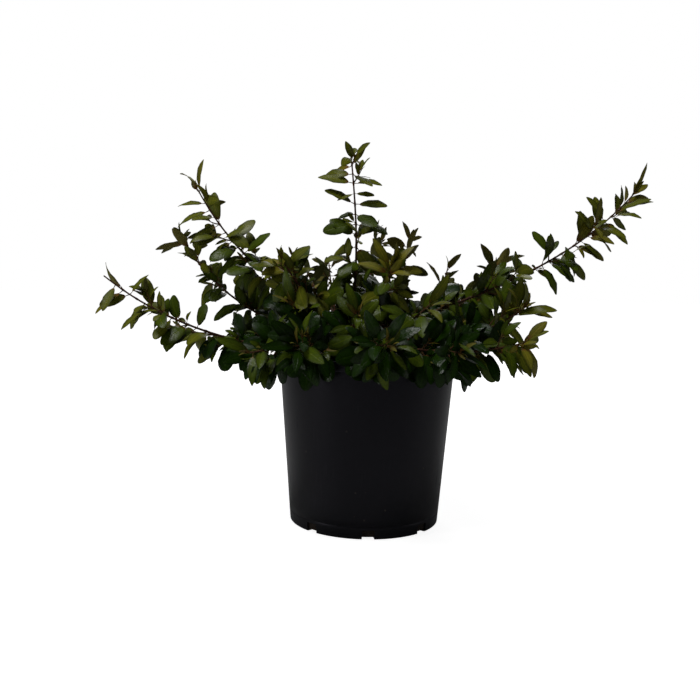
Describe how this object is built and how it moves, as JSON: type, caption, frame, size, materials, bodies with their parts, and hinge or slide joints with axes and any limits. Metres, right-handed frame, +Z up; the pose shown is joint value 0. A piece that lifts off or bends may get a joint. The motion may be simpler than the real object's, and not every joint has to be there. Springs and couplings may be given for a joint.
{
  "type": "potted dusky bells correa",
  "caption": "Spreading evergreen correa shrub in a round black nursery pot, with arching shoots of paired oval leaves around a short upright leader.",
  "frame": {"origin": "middle of the pot's flat underside, which is the face the plant stands on", "axes": "+Z up, out of the pot; +X to the plant's right as the picture shows it, along its widest spread; +Y to its back"},
  "size_m": [0.6147, 0.3834, 0.4351],
  "materials": {
    "pot": "matt moulded black plastic, lightly scuffed",
    "potting_mix": "damp composted bark",
    "bark": "thin reddish brown bark, rusty and downy on young wood",
    "foliage": "leathery leaves, deep green and glossy above, paler and downy below"
  },
  "bodies": {
    "root": {"pot": "pot", "potting_mix": "potting_mix", "main_stem": "bark", "bough_leader": "bark", "bough_left_low": "bark", "bough_left_lower": "bark", "bough_left_middle": "bark", "bough_left_high": "bark", "bough_left_rosette": "bark", "bough_left_near": "bark", "bough_front_left": "bark", "bough_front": "bark", "bough_front_right": "bark", "bough_right_near": "bark", "bough_right_low": "bark", "bough_right_high": "bark", "bough_right_top": "bark", "bough_right_back": "bark", "bough_back_right": "bark", "bough_back_middle": "bark", "bough_back": "bark", "bough_back_left": "bark", "bough_left_behind": "bark", "bough_left_back": "bark", "bough_inner_right": "bark", "bough_inner_left": "bark", "bough_inner_front": "bark", "bough_inner_near": "bark", "bough_inner_back": "bark", "bough_inner_behind": "bark", "foliage_leader": "foliage", "foliage_left_low": "foliage", "foliage_left_lower": "foliage", "foliage_left_middle": "foliage", "foliage_left_high": "foliage", "foliage_left_rosette": "foliage", "foliage_left_near": "foliage", "foliage_front_left": "foliage", "foliage_front": "foliage", "foliage_front_right": "foliage", "foliage_right_near": "foliage", "foliage_right_low": "foliage", "foliage_right_high": "foliage", "foliage_right_top": "foliage", "foliage_right_back": "foliage", "foliage_back_right": "foliage", "foliage_back_middle": "foliage", "foliage_back": "foliage", "foliage_back_left": "foliage", "foliage_left_behind": "foliage", "foliage_left_back": "foliage", "foliage_inner_right": "foliage", "foliage_inner_left": "foliage", "foliage_inner_front": "foliage", "foliage_inner_near": "foliage", "foliage_inner_back": "foliage", "foliage_inner_behind": "foliage"}
  },
  "joints": []
}
